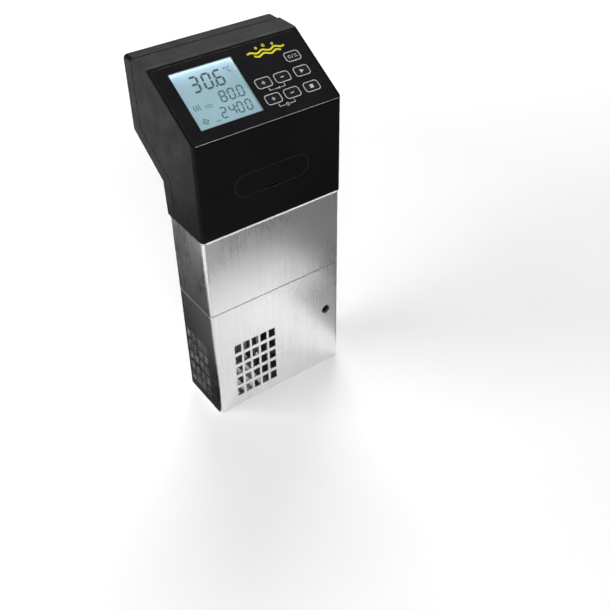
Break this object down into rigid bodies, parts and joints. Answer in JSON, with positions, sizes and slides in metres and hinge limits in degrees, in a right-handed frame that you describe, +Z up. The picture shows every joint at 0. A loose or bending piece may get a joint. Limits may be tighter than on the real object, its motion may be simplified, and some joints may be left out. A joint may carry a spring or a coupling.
{
  "type": "sous vide circulator",
  "caption": "Clamp-on sous vide circulator: black head with sloping display panel and keys on a brushed steel column with intake holes, outlet hole, inner heater, pump and rear clamp.",
  "frame": {"origin": "centre of the column's bottom face", "axes": "+Z up the column, -Y out of the front that the outlet faces, +X to the right of someone who faces the front"},
  "size_m": [0.142, 0.1205, 0.33],
  "materials": {
    "black_plastic": "fine satin",
    "panel_black": "gloss",
    "display_glass": "clear",
    "display": "pale blue liquid crystal display",
    "bezel_metal": "satin",
    "circuit_board": "solder mask",
    "switch_plastic": "moulded",
    "rocker_plastic": "gloss",
    "fan_plastic": "moulded",
    "stainless": "vertical brushed grain",
    "machined_steel": "machined",
    "screw_steel": "bright",
    "brass_pins": "plated",
    "motor_paint": "satin",
    "transformer_core": "varnished",
    "capacitor_sleeve": "sleeve",
    "heatsink_metal": "extruded",
    "rubber_black": "matte",
    "pump_plastic": "moulded",
    "knob_plastic": "moulded grip"
  },
  "bodies": {
    "housing": {"front_housing": "black_plastic", "rear_cover": "black_plastic", "access_cover": "black_plastic", "control_panel": "panel_black", "lcd_window": "display_glass", "lcd_bezel": "bezel_metal", "lcd_module": "display", "control_board": "circuit_board", "key_switches": "switch_plastic", "control_board_screws": "screw_steel", "deck_plate": "stainless", "deck_gasket": "rubber_black", "deck_screws": "screw_steel", "column_casing": "stainless", "joint_collar": "stainless", "lower_skirt": "stainless", "motor_can": "motor_paint", "motor_bracket": "machined_steel", "motor_standoffs": "machined_steel", "shaft_tube": "machined_steel", "shaft_bushes": "pump_plastic", "pump_housing": "machined_steel", "pump_cover": "machined_steel", "heating_element": "machined_steel", "element_nuts": "machined_steel", "temperature_probe": "machined_steel", "float_stem": "machined_steel", "power_board": "circuit_board", "board_rail": "switch_plastic", "transformer": "transformer_core", "heater_relay": "switch_plastic", "filter_capacitor": "capacitor_sleeve", "heatsink": "heatsink_metal", "mains_inlet": "switch_plastic", "inlet_pins": "brass_pins", "switch_bezel": "switch_plastic", "fuse_holder": "switch_plastic", "fan_frame": "fan_plastic", "rear_cover_screws": "screw_steel", "clamp_bracket": "machined_steel", "bracket_screws": "screw_steel", "wall_pad": "rubber_black"},
    "pump_rotor": {"motor_rotor": "motor_paint", "shaft_coupling": "machined_steel", "drive_shaft": "machined_steel", "impeller": "pump_plastic"},
    "fan": {"fan_rotor": "fan_plastic"},
    "rocker": {"power_rocker": "rocker_plastic"},
    "float": {"level_float": "pump_plastic"},
    "clamp_pad_carrier": {"clamp_pad": "machined_steel"},
    "clamp_spindle": {"clamp_screw": "machined_steel", "clamp_knob": "knob_plastic"},
    "key_set_cap": {"key_set": "panel_black"},
    "key_start_cap": {"key_start": "panel_black"},
    "key_stop_cap": {"key_stop": "panel_black"},
    "key_temp_up_cap": {"key_temp_up": "panel_black"},
    "key_temp_down_cap": {"key_temp_down": "panel_black"},
    "key_time_up_cap": {"key_time_up": "panel_black"},
    "key_time_down_cap": {"key_time_down": "panel_black"}
  },
  "joints": [
    {"name": "key_set_press", "type": "slide", "parent": "housing", "child": "key_set_cap", "axis": [0, 0.518, -0.8554], "range_m": [0, 0.0004], "stiffness_N_per_m": 1000, "springref_m": -0.0001},
    {"name": "key_start_press", "type": "slide", "parent": "housing", "child": "key_start_cap", "axis": [0, 0.518, -0.8554], "range_m": [0, 0.0004], "stiffness_N_per_m": 1000, "springref_m": -0.0001},
    {"name": "key_stop_press", "type": "slide", "parent": "housing", "child": "key_stop_cap", "axis": [0, 0.518, -0.8554], "range_m": [0, 0.0004], "stiffness_N_per_m": 1000, "springref_m": -0.0001},
    {"name": "key_temp_up_press", "type": "slide", "parent": "housing", "child": "key_temp_up_cap", "axis": [0, 0.518, -0.8554], "range_m": [0, 0.0004], "stiffness_N_per_m": 1000, "springref_m": -0.0001},
    {"name": "key_temp_down_press", "type": "slide", "parent": "housing", "child": "key_temp_down_cap", "axis": [0, 0.518, -0.8554], "range_m": [0, 0.0004], "stiffness_N_per_m": 1000, "springref_m": -0.0001},
    {"name": "key_time_up_press", "type": "slide", "parent": "housing", "child": "key_time_up_cap", "axis": [0, 0.518, -0.8554], "range_m": [0, 0.0004], "stiffness_N_per_m": 1000, "springref_m": -0.0001},
    {"name": "key_time_down_press", "type": "slide", "parent": "housing", "child": "key_time_down_cap", "axis": [0, 0.518, -0.8554], "range_m": [0, 0.0004], "stiffness_N_per_m": 1000, "springref_m": -0.0001},
    {"name": "pump_spin", "type": "hinge", "parent": "housing", "child": "pump_rotor", "pos_m": [0.0415, 0.003, 0.15], "axis": [0, 0, 1], "continuous": true},
    {"name": "fan_spin", "type": "hinge", "parent": "housing", "child": "fan", "pos_m": [-0.0335, 0.067, 0.297], "axis": [0, 1, 0], "continuous": true},
    {"name": "rocker_tilt", "type": "hinge", "parent": "housing", "child": "rocker", "pos_m": [0.052, 0.0725, 0.297], "axis": [1, 0, 0], "range_deg": [0, 16]},
    {"name": "float_rise", "type": "slide", "parent": "housing", "child": "float", "axis": [0, 0, 1], "range_m": [0, 0.0136]},
    {"name": "clamp_pad_slide", "type": "slide", "parent": "housing", "child": "clamp_pad_carrier", "axis": [0, -1, 0], "range_m": [0, 0.0105]},
    {"name": "clamp_screw_turn", "type": "hinge", "parent": "clamp_pad_carrier", "child": "clamp_spindle", "pos_m": [0, 0.065, 0.14], "axis": [0, -1, 0], "range_deg": [0, 3024]}
  ],
  "couplings": [
    {"joint": "clamp_screw_turn", "follows": "clamp_pad_slide", "rad_per_m": 5026.5}
  ]
}
